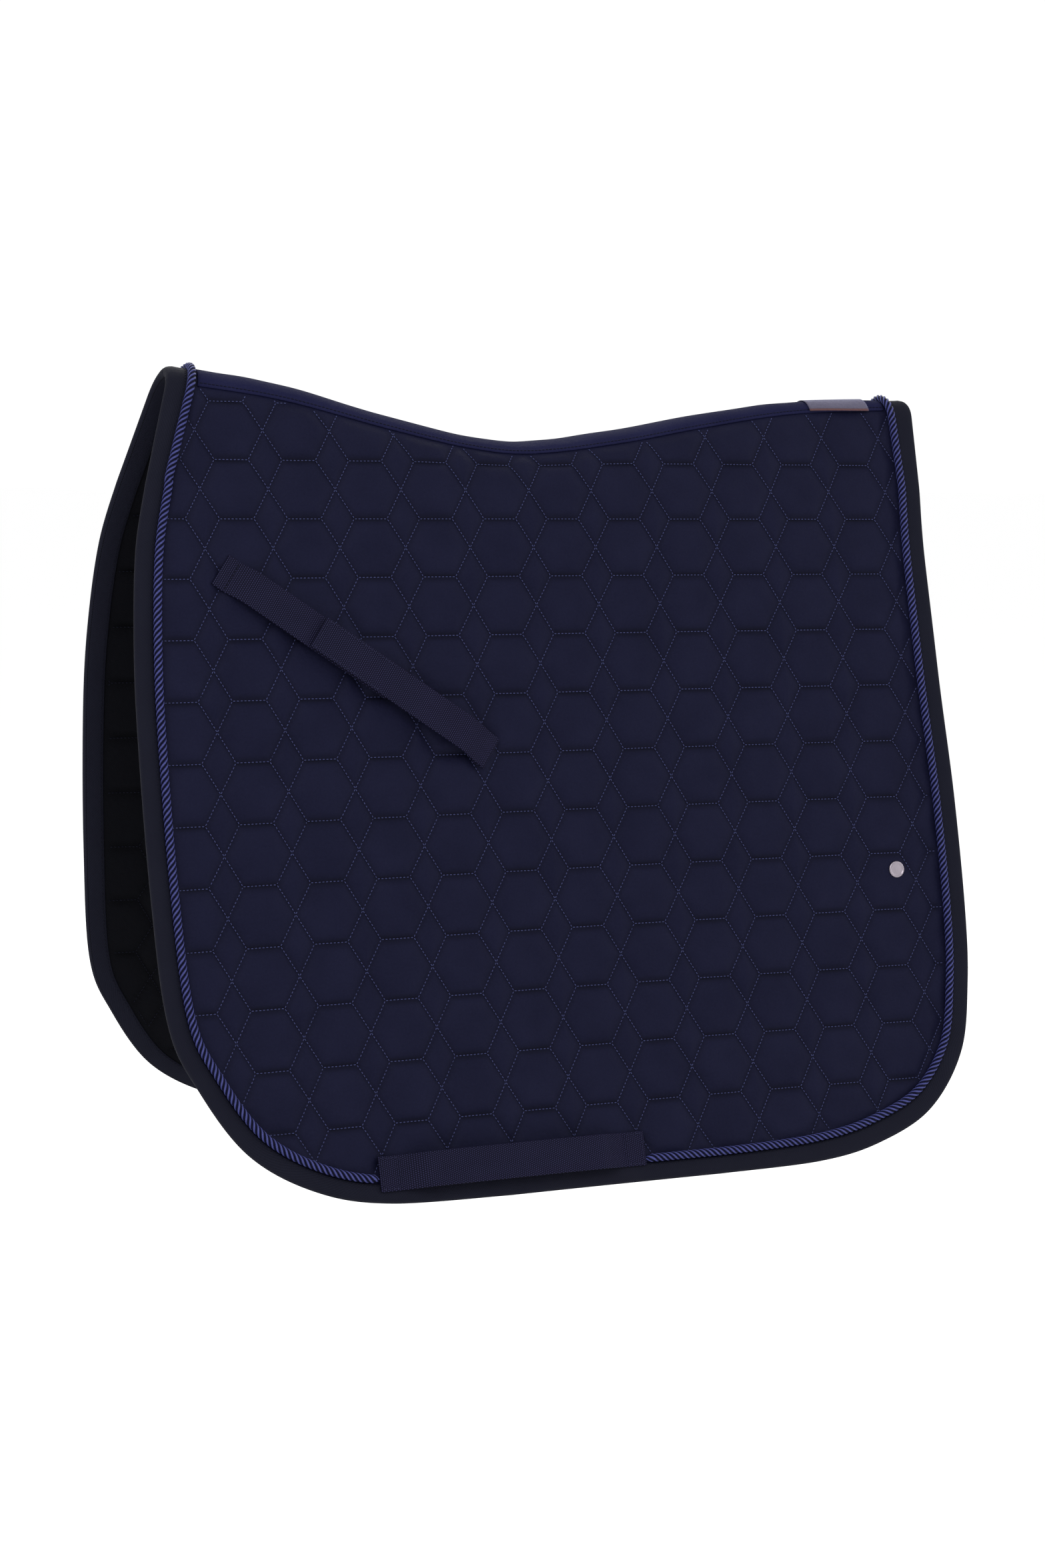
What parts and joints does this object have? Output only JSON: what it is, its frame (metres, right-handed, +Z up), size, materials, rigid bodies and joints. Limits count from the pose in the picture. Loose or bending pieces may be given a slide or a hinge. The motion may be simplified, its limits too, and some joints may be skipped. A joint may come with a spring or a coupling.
{
  "type": "saddle pad",
  "caption": "Quilted dressage saddle pad draped over its dipped spine, with bound edges, piping cord, girth loops and hook-and-loop billet straps.",
  "frame": {"origin": "underside of the spine at the lowest point of its dip, on the middle plane", "axes": "+X towards the rear (croup) end of the spine, +Y towards the horse's right side, +Z up"},
  "size_m": [0.6518, 0.3294, 0.5921],
  "materials": {
    "quilted_shell": "satin cotton, dark navy",
    "lining": "fine twill, near black",
    "padding": "polyester wadding",
    "binding": "twill tape, near-black navy",
    "spine_band": "satin cotton, dark navy",
    "cord": "twisted satin cord, royal blue",
    "webbing": "ribbed woven tape, dark navy",
    "hook_and_loop": "hook and loop tape, black",
    "badge": "satin silver metal",
    "label": "woven label, grey mauve, blank"
  },
  "bodies": {
    "spine": {"spine_outer_shell": "quilted_shell", "spine_padding": "padding", "spine_lining": "lining", "spine_band": "spine_band", "spine_label": "label", "spine_binding_front": "binding", "spine_binding_rear": "binding", "spine_cord_front": "cord", "spine_cord_rear": "cord"},
    "left_flap": {"left_outer_shell": "quilted_shell", "left_padding": "padding", "left_lining": "lining", "left_binding": "binding", "left_cord_front": "cord", "left_cord_rear": "cord", "left_girth_loop": "webbing", "left_billet_strap_lower": "webbing", "left_loop_tape": "hook_and_loop", "left_billet_tab": "webbing", "left_badge": "badge", "left_badge_washer": "badge"},
    "right_flap": {"right_outer_shell": "quilted_shell", "right_padding": "padding", "right_lining": "lining", "right_binding": "binding", "right_cord_front": "cord", "right_cord_rear": "cord", "right_girth_loop": "webbing", "right_billet_strap_lower": "webbing", "right_loop_tape": "hook_and_loop", "right_billet_tab": "webbing", "right_badge": "badge", "right_badge_washer": "badge"},
    "left_billet_strap": {"left_billet_strap_upper": "webbing", "left_hook_tape": "hook_and_loop"},
    "right_billet_strap": {"right_billet_strap_upper": "webbing", "right_hook_tape": "hook_and_loop"}
  },
  "joints": [
    {"name": "left_fold", "type": "hinge", "parent": "spine", "child": "left_flap", "pos_m": [0, -0.03723, -0.02341], "axis": [-0.9998, -0.0217, -0.0002], "range_deg": [-12, 68]},
    {"name": "right_fold", "type": "hinge", "parent": "spine", "child": "right_flap", "pos_m": [0, 0.03723, -0.02341], "axis": [0.9998, -0.0217, 0.0002], "range_deg": [-12, 68]},
    {"name": "left_billet_open", "type": "hinge", "parent": "left_flap", "child": "left_billet_strap", "pos_m": [-0.05669, -0.08479, -0.21279], "axis": [0.5629, 0.17, 0.8089], "range_deg": [0, 140]},
    {"name": "right_billet_open", "type": "hinge", "parent": "right_flap", "child": "right_billet_strap", "pos_m": [-0.05669, 0.08479, -0.21279], "axis": [-0.5629, 0.17, -0.8089], "range_deg": [0, 140]}
  ]
}
